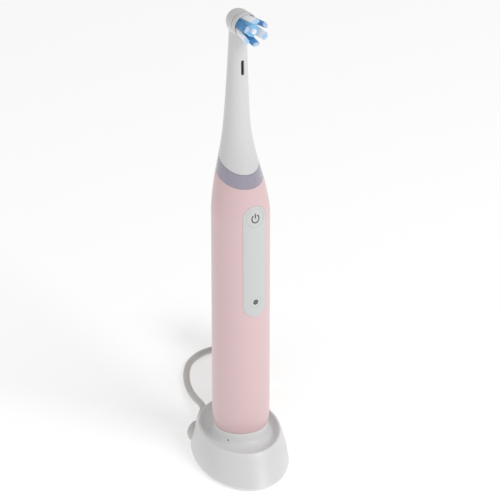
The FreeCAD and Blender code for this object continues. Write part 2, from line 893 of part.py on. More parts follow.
def rounded_route(points):
    """Straight runs joined by tangent arcs as large as the runs allow; returns the wire and radii."""
    runs = [(b - a).Length for a, b in zip(points, points[1:])]
    edges, radii, start = [], [], points[0]
    for spot in range(1, len(points) - 1):
        before = (points[spot - 1] - points[spot]).normalize()
        after = (points[spot + 1] - points[spot]).normalize()
        half = (math.pi - before.getAngle(after)) / 2
        reach = 0.45 * min(runs[spot - 1], runs[spot])
        radius = reach / math.tan(half)
        enter, leave = points[spot] + before * reach, points[spot] + after * reach
        inward = (before + after).normalize()
        middle = points[spot] + inward * (radius / math.cos(half) - radius)
        edges += [Part.LineSegment(start, enter).toShape(), Part.Arc(enter, middle, leave).toShape()]
        radii.append(radius)
        start = leave
    edges.append(Part.LineSegment(start, points[-1]).toShape())
    return Part.Wire(edges), radii


def cord_tube(name, route):
    points = [lay(*spot) for spot in route]
    path, radii = rounded_route(points)
    ring = Part.Wire(Part.Circle(points[0], points[1] - points[0], number("cord_radius")).toShape())
    solid = path.makePipeShell([ring], True, False)
    expected = math.pi * number("cord_radius") ** 2 * path.Length
    print(f"{name}: length {path.Length:.1f}, volume share {solid.Volume / expected:.4f},"
          f" radii {[round(radius, 1) for radius in radii]}")
    item = doc.addObject("Part::Feature", name)
    item.Shape = solid
    item.Placement = Placement()
    return piece(name, item)


def lay_down(item):
    """Turns an item that is modelled square to the cord's direction into the row's frame."""
    item.Placement = Placement(Vector(), Rotation(Vector(0, 0, 1), number("lay_turn")))
    return item


def make_cord():
    relief = doc.addObject("Part::Cone", "strain_relief")
    relief.Radius1 = 2.9
    relief.Radius2 = 2.2
    relief.Height = 20
    relief.Placement = Placement(lay(*LOOSE[0]) - aim().multVec(Vector(0, 0, 1)) * 20, aim())
    piece("strain_relief", relief)
    cord_tube("power_cord", LOOSE)
    cord_tube("cord_tail", TAIL)
    wide, deep = "2 * hank_half", "hank_far - hank_near"
    high = "hank_high - hank_low"
    hank = fuse(
        "hank_form",
        cylinder("hank_near_fold", "hank_half", high, 0, "hank_near", "hank_low"),
        cylinder("hank_far_fold", "hank_half", high, 0, "hank_far", "hank_low"),
        block("hank_legs", wide, deep, high, 0, "(hank_near + hank_far) / 2", "hank_low"),
    )
    piece("cord_hank", lay_down(hank))
    middle = "(hank_near + hank_far) / 2"
    tie = cut(
        "tie_form",
        block("tie_outside", f"{wide} + 2 * tie_thick", 9, "hank_high + tie_thick", 0, middle, 0),
        block("tie_inside", wide, 12, high, 0, middle, "hank_low"),
    )
    piece("cord_tie", lay_down(tie))


def make_plug():
    base = "hank_high + tie_thick + plug_thick / 2"
    flat, side = "plug_half - 4", "plug_thick / 2"
    body = padded(
        "plug_block",
        "XZ_Plane",
        [
            ("-plug_half", 0), (f"-({flat})", f"-{side}"), (flat, f"-{side}"),
            ("plug_half", 0), (flat, side), (f"-({flat})", side),
        ],
        "plug_length - 12",
        0,
        "plug_rear + plug_length",
        base,
    )
    collar = forward("plug_collar", 4.6, "plug_rear + 12.4", 6, 0, base)
    neck = doc.addObject("Part::Cone", "plug_neck")
    neck.Placement.Rotation = Rotation(Vector(1, 0, 0), -90)
    neck.Radius1 = 2.6
    neck.Radius2 = 4.2
    bind(neck, Height=12.4)
    place(neck, 0, "plug_rear", base)
    entry = forward("plug_entry", 2.0, "plug_rear + 5", 8, 0, base)
    piece("plug_body", lay_down(cut("plug_form", fuse("plug_solid", body, collar, neck), entry)))
    pins = []
    tip = "plug_rear + plug_length + pin_length"
    for side in (-1, 1):
        name = f"plug_pin{side + 1}"
        pins.append(forward(name, "pin_radius", tip, "pin_length", f"{side} * pin_spacing / 2", base))
    piece("plug_pins", lay_down(group("pin_pair", *pins)))


# ---------------------------------------------------------------- build and write

make_shell()
make_panel()
make_ring()
make_nose()
make_base_cap()
make_chassis()
make_power_parts()
make_boards()
make_motor()
make_neck()
make_link()
make_carrier()
make_tufts()
charger_from = len(pieces)
make_charger()
make_charger_parts()
charger_pieces = pieces[charger_from:]
make_cord()
make_plug()

for item in charger_pieces:
    turn(item, number("charger_turn"))

doc.recompute()

for item in doc.Objects:
    if "Invalid" in item.State or "Error" in item.State:
        raise RuntimeError(f"{item.Label} failed: {item.State}")
for item in pieces:
    if item.Shape.isNull() or not item.Shape.isValid() or not item.Shape.Solids:
        raise RuntimeError(f"{item.Label} has no valid solid")

os.makedirs("parts", exist_ok=True)
for item in pieces:
    item.Shape.exportStep(f"parts/{item.Label}.step")
    box = item.Shape.BoundBox
    print(f"{item.Label}: {len(item.Shape.Solids)} solids, {item.Shape.Volume:.1f} mm3,"
          f" x {box.XMin:.1f} {box.XMax:.1f} y {box.YMin:.1f} {box.YMax:.1f} z {box.ZMin:.1f} {box.ZMax:.1f}")
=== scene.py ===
import math
import random

import bmesh
import bpy
import numpy as np
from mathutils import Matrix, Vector
from mathutils.bvhtree import BVHTree


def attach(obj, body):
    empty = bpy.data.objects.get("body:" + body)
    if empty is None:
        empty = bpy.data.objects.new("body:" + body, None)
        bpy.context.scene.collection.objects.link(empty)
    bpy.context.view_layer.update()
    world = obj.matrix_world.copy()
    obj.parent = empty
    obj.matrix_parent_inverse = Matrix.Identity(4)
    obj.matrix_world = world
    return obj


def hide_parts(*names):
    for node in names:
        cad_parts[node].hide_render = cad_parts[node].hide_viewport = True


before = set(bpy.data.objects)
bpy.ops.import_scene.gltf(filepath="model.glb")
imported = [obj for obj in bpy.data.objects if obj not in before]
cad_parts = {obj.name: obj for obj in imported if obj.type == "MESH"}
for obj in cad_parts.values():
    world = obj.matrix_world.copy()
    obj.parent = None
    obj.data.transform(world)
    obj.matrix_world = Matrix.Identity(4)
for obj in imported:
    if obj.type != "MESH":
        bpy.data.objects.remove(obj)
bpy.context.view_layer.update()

MM = 0.001
random.seed(7)

# ---------------------------------------------------------------- camera

camera_data = bpy.data.cameras.new("camera")
camera_data.lens = 247.5
camera_data.sensor_width = 36
camera_data.clip_end = 20
camera = bpy.data.objects.new("camera", camera_data)
camera.location = (-0.8271, -1.3863, 1.0184)
camera.rotation_euler = (math.radians(61.1), 0, math.radians(-31))
bpy.context.collection.objects.link(camera)
bpy.context.scene.camera = camera


# ---------------------------------------------------------------- helpers


def link(name, mesh):
    item = bpy.data.objects.new(name, mesh)
    bpy.context.collection.objects.link(item)
    return item


def mesh_piece(name, points, faces, smooth=True):
    """A mesh object from points in millimetres."""
    mesh = bpy.data.meshes.new(name)
    mesh.from_pydata([tuple(np.asarray(p, float) * MM) for p in points], [], faces)
    mesh.validate()
    item = link(name, mesh)
    if smooth:
        mesh.shade_smooth()
    return item


# ---------------------------------------------------------------- the cord

TURN = math.radians(-31)
CORD = 1.9


def lay(side, back, height):
    """A point given along and across the lead's own direction, in the row's frame."""
    return Vector((
        side * math.cos(TURN) - back * math.sin(TURN),
        side * math.sin(TURN) + back * math.cos(TURN),
        height,
    ))


LOOSE = [
    (-21.47, 30.42, 6.2),
    (-20.9, 37.6, 5.5),
    (-24.4, 47.0, 3.9),
    (-28.3, 57.0, 2.5),
    (-31.0, 69.0, 1.95),
    (-31.8, 82.0, 1.95),
    (-29.5, 95.0, 1.95),
    (-20.5, 106.5, 1.95),
    (-5.0, 110.5, 2.1),
    (8.5, 101.7, 2.8),
]
TAIL = [
    (-12.2, 49.0, 20.4),
    (-10.6, 56.0, 22.2),
    (-5.0, 62.5, 26.2),
    (-0.4, 69.5, 28.0),
    (0.0, 76.6, 28.15),
]

HANK_NEAR, HANK_FAR = 52, 88
LAYER_LOW, LAYER_STEP = 2.8, 3.2
WIDE_TURN, NARROW_TURN = 13.2, 11.4
HANK_START = (12.9, 92.6)
HANK_TURNS = 6
LEG_STOPS = (58, 70, 82)
FOLD_STEPS = (18, 54, 90, 126, 162)
FOLD_SWELL = 1.03


def hank_points():
    """The folded lead: legs one above another, each turn beside or inside the one below."""
    points = [(*HANK_START, LAYER_LOW)]
    for turn in range(HANK_TURNS):
        radius, after = (WIDE_TURN, NARROW_TURN) if turn % 2 == 0 else (NARROW_TURN, WIDE_TURN)
        low = LAYER_LOW + LAYER_STEP * turn
        points += [(radius, back, low) for back in reversed(LEG_STOPS)]
        for step in FOLD_STEPS:
            angle = math.radians(step)
            wide = radius * FOLD_SWELL
            points.append((wide * math.cos(angle), HANK_NEAR - wide * math.sin(angle), low))
        if turn == HANK_TURNS - 1:
            break
        points += [(-radius, back, low) for back in LEG_STOPS]
        for step in FOLD_STEPS:
            share = step / 180
            angle = math.radians(180 - step)
            wide = (radius + (after - radius) * share) * FOLD_SWELL
            points.append((wide * math.cos(angle), HANK_FAR + wide * math.sin(angle),
                           low + LAYER_STEP * share))
    return points


def cord_curve(name, points, radius):
    curve = bpy.data.curves.new(name, "CURVE")
    curve.dimensions = "3D"
    curve.bevel_depth = radius * MM
    curve.bevel_resolution = 6
    curve.resolution_u = 8
    curve.use_fill_caps = True
    spline = curve.splines.new("NURBS")
    spline.points.add(len(points) - 1)
    for spot, point in zip(spline.points, points):
        spot.co = (*(lay(*point) * MM), 1)
    spline.order_u = 3
    spline.use_endpoint_u = True
    return link(name, curve)


cord = cord_curve("mains_cord", LOOSE + hank_points() + TAIL[1:], CORD)

# ---------------------------------------------------------------- materials


def linear(rgb):
    """Display values from 0 to 255 as linear light."""
    values = [value / 255 for value in rgb]
    return [v / 12.92 if v <= 0.04045 else ((v + 0.055) / 1.055) ** 2.4 for v in values]


def node(tree, kind, **values):
    item = tree.nodes.new(kind)
    for name, value in values.items():
        if hasattr(item, name):
            setattr(item, name, value)
        else:
            item.inputs[name.replace("_", " ")].default_value = value
    return item


def finish_of(name, rgb, rough, vary=0.03, grain=0.0, grain_scale=2500, metal=0.0, coat=0.0,
              coat_rough=0.1, subsurface=0.0, edge=0.0, mottle=350):
    """A moulded, metal or rubber finish: the tone drifts, the roughness varies, the skin has a grain.

    Grain and edge are in millimetres; vary is the share that the tone drifts by.
    """
    material = bpy.data.materials.new(name)
    material.use_nodes = True
    tree = material.node_tree
    shader = tree.nodes["Principled BSDF"]
    base = linear(rgb)
    place = node(tree, "ShaderNodeTexCoord")
    drift = node(tree, "ShaderNodeTexNoise", Scale=mottle, Detail=3.0)
    tree.links.new(place.outputs["Object"], drift.inputs["Vector"])
    tone = node(tree, "ShaderNodeMix", data_type="RGBA")
    tone.inputs[6].default_value = (*[max(0.0, v * (1 - vary)) for v in base], 1)
    tone.inputs[7].default_value = (*[min(1.0, v * (1 + vary)) for v in base], 1)
    tree.links.new(drift.outputs["Fac"], tone.inputs[0])
    tree.links.new(tone.outputs[2], shader.inputs["Base Color"])
    wear = node(tree, "ShaderNodeTexNoise", Scale=mottle * 4, Detail=5.0)
    tree.links.new(place.outputs["Object"], wear.inputs["Vector"])
    span = node(tree, "ShaderNodeMapRange")
    span.inputs["To Min"].default_value = max(0.02, rough - 0.05)
    span.inputs["To Max"].default_value = min(1.0, rough + 0.07)
    tree.links.new(wear.outputs["Fac"], span.inputs["Value"])
    tree.links.new(span.outputs["Result"], shader.inputs["Roughness"])
    shader.inputs["Metallic"].default_value = metal
    shader.inputs["Coat Weight"].default_value = coat
    shader.inputs["Coat Roughness"].default_value = coat_rough
    if subsurface:
        shader.inputs["Subsurface Weight"].default_value = subsurface
        shader.inputs["Subsurface Radius"].default_value = (1.0, 0.9, 0.9)
        shader.inputs["Subsurface Scale"].default_value = 0.0012
    last = None
    if edge:
        last = node(tree, "ShaderNodeBevel", samples=4)
        last.inputs["Radius"].default_value = edge * MM
    if grain:
        skin = node(tree, "ShaderNodeTexNoise", Scale=grain_scale, Detail=2.0)
        tree.links.new(place.outputs["Object"], skin.inputs["Vector"])
        bump = node(tree, "ShaderNodeBump", Strength=0.6)
        bump.inputs["Distance"].default_value = grain * MM
        tree.links.new(skin.outputs["Fac"], bump.inputs["Height"])
        if last:
            tree.links.new(last.outputs["Normal"], bump.inputs["Normal"])
        last = bump
    if last:
        tree.links.new(last.outputs["Normal"], shader.inputs["Normal"])
    return material


# painted light: the filaments glow faintly in their own colour, standing in for light passing through the
# nylon and lifting their self-shadow
BRISTLE_PAINTED_GLOW = 0.14


def bristle_finish(name, root_rgb, tip_rgb, turn_y, tip_y):
    """Nylon filaments: one colour up the shank, fading to another from turn_y to tip_y."""
    material = finish_of(name, root_rgb, 0.38, vary=0.12, mottle=1800, subsurface=0.6)
    tree = material.node_tree
    shader = tree.nodes["Principled BSDF"]
    # painted light: a faint glow in the root colour
    shader.inputs["Emission Color"].default_value = (*linear(root_rgb), 1)
    shader.inputs["Emission Strength"].default_value = BRISTLE_PAINTED_GLOW
    place = node(tree, "ShaderNodeTexCoord")
    split = node(tree, "ShaderNodeSeparateXYZ")
    tree.links.new(place.outputs["Object"], split.inputs["Vector"])
    span = node(tree, "ShaderNodeMapRange")
    span.inputs["From Min"].default_value = turn_y * MM
    span.inputs["From Max"].default_value = tip_y * MM
    tree.links.new(split.outputs["Y"], span.inputs["Value"])
    under = shader.inputs["Base Color"].links[0].from_socket
    tint = node(tree, "ShaderNodeMix", data_type="RGBA")
    tint.inputs[7].default_value = (*linear(tip_rgb), 1)
    tree.links.new(span.outputs["Result"], tint.inputs[0])
    tree.links.new(under, tint.inputs[6])
    tree.links.new(tint.outputs[2], shader.inputs["Base Color"])
    return material


shell_pink = finish_of("shell_pink", (224, 194, 196), 0.36, vary=0.012, grain=0.012,
                       grain_scale=6000, coat=0.25, coat_rough=0.28, edge=0.25)
cap_pink = finish_of("cap_pink", (226, 194, 197), 0.42, vary=0.015, edge=0.2)
panel_soft = finish_of("panel_soft", (207, 209, 208), 0.62, vary=0.012, grain=0.02,
                       grain_scale=5000, edge=0.2)
icon_grey = finish_of("icon_grey", (72, 72, 80), 0.5, vary=0.08)
icon_mid = finish_of("icon_mid", (112, 112, 120), 0.5, vary=0.08)
ring_lilac = finish_of("ring_lilac", (163, 157, 172), 0.16, vary=0.03, mottle=120, coat=0.8,
                       coat_rough=0.05, subsurface=0.35, edge=0.25)
neck_white = finish_of("neck_white", (214, 214, 214), 0.3, vary=0.01, grain=0.008, grain_scale=5000,
                       coat=0.2, coat_rough=0.2)
base_white = finish_of("base_white", (229, 229, 229), 0.38, vary=0.012, grain=0.015,
                       grain_scale=4500, coat=0.12, coat_rough=0.3)
inner_white = finish_of("inner_white", (222, 222, 218), 0.5, vary=0.02, grain=0.02, edge=0.15)
seal_grey = finish_of("seal_grey", (120, 120, 122), 0.75, vary=0.06, grain=0.02)
# painted shade: the neck's inside, its slot and seam groove and the charger's drain hole are white
# plastic; this dark colour stands in for the shade inside them
painted_hollow_shade = finish_of("painted_hollow_shade", (62, 58, 58), 0.7, vary=0.1)
copper_wire = finish_of("copper_wire", (200, 118, 70), 0.32, vary=0.1, grain=0.03, grain_scale=3500,
                        metal=1.0)
steel_plain = finish_of("steel_plain", (196, 196, 196), 0.3, vary=0.04, grain=0.01,
                        grain_scale=5000, metal=1.0, edge=0.15)
magnet_plate = finish_of("magnet_plate", (205, 205, 210), 0.16, vary=0.03, metal=1.0, edge=0.15)
ferrite_dark = finish_of("ferrite_dark", (58, 58, 60), 0.72, vary=0.1, grain=0.03, edge=0.15)
cell_green = finish_of("cell_green", (66, 128, 110), 0.3, vary=0.03, coat=0.3)
board_green = finish_of("board_green", (34, 98, 60), 0.35, vary=0.12, mottle=900, coat=0.3)
chip_black = finish_of("chip_black", (30, 30, 32), 0.5, vary=0.1, grain=0.02)
led_clear = finish_of("led_clear", (240, 238, 220), 0.12, vary=0.03, coat=0.8)
can_blue = finish_of("can_blue", (40, 62, 110), 0.35, vary=0.06, coat=0.2)
foot_rubber = finish_of("foot_rubber", (88, 88, 88), 0.8, vary=0.08, grain=0.04, grain_scale=3000)
cord_grey = finish_of("cord_grey", (206, 203, 200), 0.46, vary=0.03, grain=0.02, grain_scale=3500)
tie_white = finish_of("tie_white", (205, 205, 203), 0.6, vary=0.05, grain=0.06, grain_scale=1800)
nickel = finish_of("nickel", (205, 200, 190), 0.2, vary=0.03, metal=1.0, mottle=700)
# the dark blue tufts fade to near-white only at their ends: a painted highlight for their lit cut tips
bristle_blue = bristle_finish("bristle_blue", (84, 146, 196), (232, 234, 244), -15.5, -16.3)
bristle_white = bristle_finish("bristle_white", (244, 246, 250), (150, 200, 236), -14.6, -16.2)
bristle_sky = bristle_finish("bristle_sky", (156, 206, 236), (130, 194, 232), -12.2, -13.4)
bristle_core = bristle_finish("bristle_core", (232, 234, 242), (240, 240, 244), -14.0, -15.0)

# ---------------------------------------------------------------- surfaces in millimetres

AROUND = 96


def skin_between(name, rings, material, body, closed=False):
    """A surface through rings of equal count; the end rings are capped, or joined when closed."""
    count = len(rings[0])
    points = [point for ring in rings for point in ring]
    faces = []
    last = len(rings) if closed else len(rings) - 1
    for level in range(last):
        low, high = level * count, (level + 1) % len(rings) * count
        for spot in range(count):
            after = (spot + 1) % count
            faces.append((low + spot, low + after, high + after, high + spot))
    if not closed:
        faces.append(tuple(reversed(range(count))))
        faces.append(tuple(range((len(rings) - 1) * count, len(rings) * count)))
    item = mesh_piece(name, points, faces)
    face_out(item.data)
    item.data.materials.append(material)
    if body:
        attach(item, body)
    return item


def face_out(mesh):
    work = bmesh.new()
    work.from_mesh(mesh)
    bmesh.ops.recalc_face_normals(work, faces=work.faces)
    work.to_mesh(mesh)
    work.free()


def crease(item, degrees=35):
    """Flat-looking edges where the surface turns sharply, smooth elsewhere."""
    item.data.shade_smooth()
    item.data.set_sharp_from_angle(angle=math.radians(degrees))


def forward_ring(radius, y, height):
    """A circle square to the Y axis, its middle at x = 0 and the given height."""
    ring = []
    for spot in range(AROUND):
        angle = 2 * math.pi * spot / AROUND
        ring.append((radius * math.sin(angle), y, height + radius * math.cos(angle)))
    return ring


def round_ring(centre, across, radius, count):
    """A circle about a centre, in the upright plane that holds the level direction across."""
    return [centre + (across * math.cos(turn) + Vector((0, 0, 1)) * math.sin(turn)) * radius
            for turn in np.linspace(0, 2 * math.pi, count, endpoint=False)]


def rounded(corners, steps=4):
    """A profile of (radius, place, rounding) corners, each rounding turned into a short arc."""
    path = []
    for spot, (radius, along, fillet) in enumerate(corners):
        here = Vector((radius, along))
        if not fillet or spot in (0, len(corners) - 1):
            path.append(here)
            continue
        before = Vector(corners[spot - 1][:2]) - here
        after = Vector(corners[spot + 1][:2]) - here
        reach = min(fillet, before.length * 0.49, after.length * 0.49)
        enter, leave = here + before.normalized() * reach, here + after.normalized() * reach
        for step in range(steps + 1):
            share = step / steps
            path.append(enter * (1 - share) ** 2 + here * 2 * share * (1 - share)
                        + leave * share ** 2)
    return path


def cut_away(item, *tools):
    """Takes the tools' volumes out of the item for good; cut faces keep the tools' material."""
    for tool in tools:
        change = item.modifiers.new("cut", "BOOLEAN")
        change.operation = "DIFFERENCE"
        change.solver = "EXACT"
        change.object = tool
        graph = bpy.context.evaluated_depsgraph_get()
        mesh = bpy.data.meshes.new_from_object(item.evaluated_get(graph))
        item.modifiers.clear()
        item.data = mesh
        bpy.data.objects.remove(tool)


# ---------------------------------------------------------------- neck and head

HEAD = 262.1
HEAD_RADIUS = 6.65
HEAD_FACE, DOME_BACK = -1.8, 1.8
HEAD_BLEND = 1.3
HEAD_FROM, HEAD_MIDDLE = 250, 2.2
FLAT_FACE_BELOW = 7.25
TILT = math.tan(math.radians(24))
NECK_LOW = 181.25
NECK_EDGE = 12.0
NECK_WALL = 1.05
# (height, radius, middle y)
NECK = [
    (150, 16.2, 0), (158, 15.3, 0.5), (166, 14.1, 1.2), (174, 12.5, 2.1), (182, 10.6, 3.0),
    (190, 8.95, 3.5), (198, 7.75, 3.75), (208, 6.85, 3.75), (224, 6.0, 3.3), (240, 5.3, 2.9),
    (252, 4.9, 2.5), (262, 4.8, 2.2), (272, 4.8, 2.2),
]


def smooth_line(heights, values, x):
    """A Catmull-Rom line through a table."""
    spot = int(np.clip(np.searchsorted(heights, x) - 1, 1, len(heights) - 3))
    h, v = heights[spot - 1:spot + 3], values[spot - 1:spot + 3]
    share = (x - h[1]) / (h[2] - h[1])
    start = (v[2] - v[0]) / (h[2] - h[0]) * (h[2] - h[1])
    end = (v[3] - v[1]) / (h[3] - h[1]) * (h[2] - h[1])
    cube, square = share ** 3, share ** 2
    return ((2 * cube - 3 * square + 1) * v[1] + (cube - 2 * square + share) * start
            + (3 * square - 2 * cube) * v[2] + (cube - square) * end)


def table_at(table, height):
    """A table's other columns at a height, by the smooth line through each."""
    heights = [row[0] for row in table]
    return [smooth_line(heights, [row[column] for row in table], height)
            for column in range(1, len(table[0]))]


def circle_reach(radius, offset, angle):
    """How far a circle's edge is from a point that lies off its centre along Y."""
    along = offset * math.sin(angle)
    return along + math.sqrt(max(0.0, radius ** 2 - offset ** 2 + along ** 2))


def head_reach(wide, middle, angle, face):
    """The same for the head's level section: flat in front, straight sides and a round back."""
    if wide <= 0:
        return 0.0
    across, back = math.cos(angle), math.sin(angle)
    reach = 1e9
    if back < -1e-6:
        reach = (middle - face) / -back
    if abs(across) > 1e-6:
        reach = min(reach, wide / abs(across))
    if middle + back * reach > DOME_BACK:
        reach = circle_reach(wide, DOME_BACK - middle, angle)
    return reach


def slanted_rings(low):
    """The neck's lower edge slants with the light ring; the rings level out over the next stretch."""
    rings = []
    for step in range(13):
        share = step / 12
        ring = []
        for spot in range(AROUND):
            angle = 2 * math.pi * spot / AROUND
            height = low + NECK_EDGE * share
            for _ in range(8):
                radius, back = table_at(NECK, height)
                y = back + radius * math.sin(angle)
                height = low + NECK_EDGE * share + TILT * y * (1 - share)
            ring.append((radius * math.cos(angle), y, height))
        rings.append(ring)
    return rings


def head_ring(height, shrink):
    """One level of the neck and head, with the wall's thickness taken off for the inside."""
    ring = []
    radius, back = table_at(NECK, height)
    middle = back if height < HEAD_FROM else HEAD_MIDDLE
    rise = height - HEAD
    wide = math.sqrt(max(0.0, (HEAD_RADIUS - shrink) ** 2 - rise ** 2))
    for spot in range(AROUND):
        angle = 2 * math.pi * spot / AROUND
        neck = circle_reach(radius - shrink, back - middle, angle) if rise < 0 else 0.0
        head = head_reach(wide, middle, angle, HEAD_FACE + shrink)
        far, near = max(neck, head), min(neck, head)
        gap = (far - near) / HEAD_BLEND
        reach = far + (HEAD_BLEND * (1 - gap) ** 2 / 4 if near > 0 and gap < 1 else 0)
        x, y = reach * math.cos(angle), middle + reach * math.sin(angle)
        if height > HEAD - FLAT_FACE_BELOW:
            y = max(y, HEAD_FACE + shrink)
        ring.append((x, y, height))
    return ring


def level_rings(low, shrink):
    """Heights up the neck, closer together where the head begins and round its top."""
    start = HEAD - HEAD_RADIUS
    levels = list(np.linspace(low, start - 1.2, 34))
    levels += list(np.linspace(start - 1.0, start + 1.6, 14))
    levels += [HEAD + (HEAD_RADIUS - shrink) * math.sin(math.radians(step))
               for step in np.linspace(-46, 88, 34)]
    return [head_ring(height, shrink) for height in levels]


def front_outline(half, low, high, y):
    """An upright strip's outline with round ends."""
    ring = []
    for spot in range(32):
        angle = 2 * math.pi * (spot + 0.5) / 32
        middle = high - half if math.cos(angle) > 0 else low + half
        ring.append((half * math.sin(angle), y, middle + half * math.cos(angle)))
    return ring


neck = skin_between("brush_head_shell",
                    slanted_rings(NECK_LOW) + level_rings(NECK_LOW + NECK_EDGE + 1, 0),
                    neck_white, None)
# the faces cut inside the neck, its slot and its seam groove take the tools' dark painted shade
cut_away(
    neck,
    skin_between("neck_room", level_rings(168, NECK_WALL), painted_hollow_shade, None),
    skin_between("face_room", [forward_ring(5.7, y, HEAD) for y in (2.0, -4.0)], inner_white, None),
    skin_between("drain_room", [front_outline(0.95, 232.3, 241.0, y) for y in (1.0, -6.0)],
                 painted_hollow_shade, None),
    skin_between("seam_room", [front_outline(0.35, 253.4, 255.6, y) for y in (0.4, -6.0)],
                 painted_hollow_shade, None),
)
crease(neck, 40)
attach(neck, "brush_head")
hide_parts("brush_neck")

CARRIER = rounded([
    (0.4, -2.1, 0), (6.6, -2.1, 0.3), (6.95, -2.6, 0.3), (6.95, -5.35, 0.5), (6.2, -5.45, 0.3),
    (6.0, -4.7, 0.35), (0.4, -4.6, 0),
])
carrier = skin_between("bristle_disc", [forward_ring(radius, y, HEAD) for radius, y in CARRIER],
                       neck_white, "bristle_carrier")
crease(carrier, 50)
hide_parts("bristle_carrier")

# ---------------------------------------------------------------- bristles

FILAMENT, FILAMENT_GAP, ROW_SHARE = 0.19, 0.36, 0.87
JITTER = 0.03
ROOT = -4.3
TUFT_HALF = (2.45, 1.1)
TUFT_ROOT, TUFT_TIP, TUFT_TIP_Y = 4.85, 6.5, -16.25


def packed(inside, wide, deep):
    """Places in a close-packed pattern, each a little out of true."""
    places = []
    rows = int(deep / (FILAMENT_GAP * ROW_SHARE)) + 1
    columns = int(wide / FILAMENT_GAP) + 1
    for row in range(-rows, rows + 1):
        for column in range(-columns, columns + 1):
            across = (column + (row % 2) / 2) * FILAMENT_GAP + random.uniform(-JITTER, JITTER)
            along = row * FILAMENT_GAP * ROW_SHARE + random.uniform(-JITTER, JITTER)
            if inside(across, along):
                places.append((across, along))
    return places


def filaments(name, stands, material, node_name):
    """Round-tipped filaments from (root, tip) pairs of points."""
    points, faces = [], []
    for root, tip in stands:
        root, tip = Vector(root), Vector(tip)
        length = (tip - root).length
        for share, size in ((0, 1), (1 - 0.22 / length, 1), (1 - 0.08 / length, 0.72), (1, 0.3)):
            middle = root.lerp(tip, share)
            for spot in range(6):
                angle = math.pi * spot / 3
                points.append((middle.x + FILAMENT * size * math.cos(angle), middle.y,
                               middle.z + FILAMENT * size * math.sin(angle)))
        low = len(points) - 24
        for level in (0, 6, 12):
            for spot in range(6):
                after = (spot + 1) % 6
                faces.append((low + level + spot, low + level + after, low + level + 6 + after,
                              low + level + 6 + spot))
        faces.append(tuple(low + spot for spot in range(5, -1, -1)))
        faces.append(tuple(low + 18 + spot for spot in range(6)))
    item = mesh_piece(name, points, faces)
    face_out(item.data)
    item.data.materials.append(material)
    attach(item, "bristle_carrier")
    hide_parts(node_name)


def outer_tuft(degrees):
    """One oval tuft that leans outwards, at an angle about the carrier's axis."""
    turned_by = math.radians(degrees)
    out = Vector((math.sin(turned_by), 0, math.cos(turned_by)))
    side = Vector((math.cos(turned_by), 0, -math.sin(turned_by)))
    stands = []
    wide, deep = TUFT_HALF
    for across, along in packed(lambda a, b: (a / wide) ** 2 + (b / deep) ** 2 < 1, 2.6, 1.2):
        tip_y = TUFT_TIP_Y + random.uniform(-0.12, 0.1) + 0.3 * (across / wide) ** 2
        root = Vector((0, ROOT, HEAD)) + out * (TUFT_ROOT + along) + side * across
        tip = Vector((0, tip_y, HEAD)) + out * (TUFT_TIP + along) + side * across * 0.84
        stands.append((root, tip))
    return stands


def upright(inside, reach, tip_y, dip):
    """Straight filaments about the carrier's axis, their tips lower further out by dip."""
    stands = []
    for x, z in packed(inside, reach, reach):
        tip = tip_y + random.uniform(-0.1, 0.1) + dip * math.hypot(x, z) / reach
        stands.append(((x, ROOT, HEAD + z), (x, tip, HEAD + z)))
    return stands


filaments("dark_tufts", sum((outer_tuft(60 + 120 * count) for count in range(3)), []),
          bristle_blue, "tufts_dark")
filaments("pale_tufts", sum((outer_tuft(120 * count) for count in range(3)), []),
          bristle_white, "tufts_pale")
filaments("whorl_filaments",
          upright(lambda x, z: 1.6 < math.hypot(x, z) < 3.3, 3.5, -13.2, 0.5),
          bristle_sky, "tuft_whorl")
filaments("core_filaments", upright(lambda x, z: math.hypot(x, z) < 1.35, 1.6, -14.7, 0.4),
          bristle_core, "tuft_core")

# ---------------------------------------------------------------- buttons

HANDLE_RADIUS, SHOULDER_LOW = 15.8, 150
# (height, radius, middle y)
SHOULDER = [(142, 15.8, 0), (150, 15.8, 0), (158, 15.3, 0.5), (166, 14.1, 1.2), (174, 12.5, 2.1),
            (182, 10.6, 3.0)]
PAD_LIFT = 0.02
PAD_STEPS = 64
# (share of the radius, how far the face lies below the handle's skin)
PAD_FACE = ((0.02, 0), (0.25, 0), (0.5, 0), (0.75, 0), (0.96, 0), (0.99, 0), (1.0, 0.04),
            (1.0, 0.3))
STEM_STEP, STEM_END = 1.7, -13.05


def handle_front(x, height):
    """The y of the handle's front skin at a place."""
    radius, back = (HANDLE_RADIUS, 0.0) if height < SHOULDER_LOW else table_at(SHOULDER, height)
    return back - math.sqrt(radius ** 2 - x ** 2)


def pad_button(name, middle, radius, node_name):
    """A round pad whose face follows the handle's skin, with a softened edge and a stem behind."""
    rings = []
    for share, sink in PAD_FACE:
        ring = []
        for spot in range(PAD_STEPS):
            angle = 2 * math.pi * spot / PAD_STEPS
            x, z = radius * share * math.sin(angle), middle + radius * share * math.cos(angle)
            ring.append((x, handle_front(x, z) + sink - PAD_LIFT, z))
        rings.append(ring)
    stem = (radius - STEM_STEP) / radius
    rings.append([(x * stem, y, middle + (z - middle) * stem) for x, y, z in rings[-1]])
    rings.append([(x, STEM_END, z) for x, y, z in rings[-1]])
    item = skin_between(name, rings, panel_soft, node_name)
    crease(item, 50)
    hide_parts(node_name)
    return item


POWER_HEIGHT, MODE_HEIGHT = 153.6, 102.8
pads = [pad_button("power_button_pad", POWER_HEIGHT, 5.25, "power_button"),
        pad_button("mode_button_pad", MODE_HEIGHT, 3.45, "mode_button")]

# ---------------------------------------------------------------- printed marks on the panel

MARK_SINK, MARK_LIFT = -0.045, 0.06
POWER_MARK_HEIGHT = 153.4


def panel_front():
    """The front of the panel and its buttons, as a surface that a point can be dropped on."""
    corners, faces = [], []
    for item in [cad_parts["control_panel"], *pads]:
        mesh = item.data
        start = len(corners)
        corners += [vertex.co.copy() for vertex in mesh.vertices]
        faces += [[start + index for index in face.vertices] for face in mesh.polygons]
    return BVHTree.FromPolygons(corners, faces)


front = panel_front()


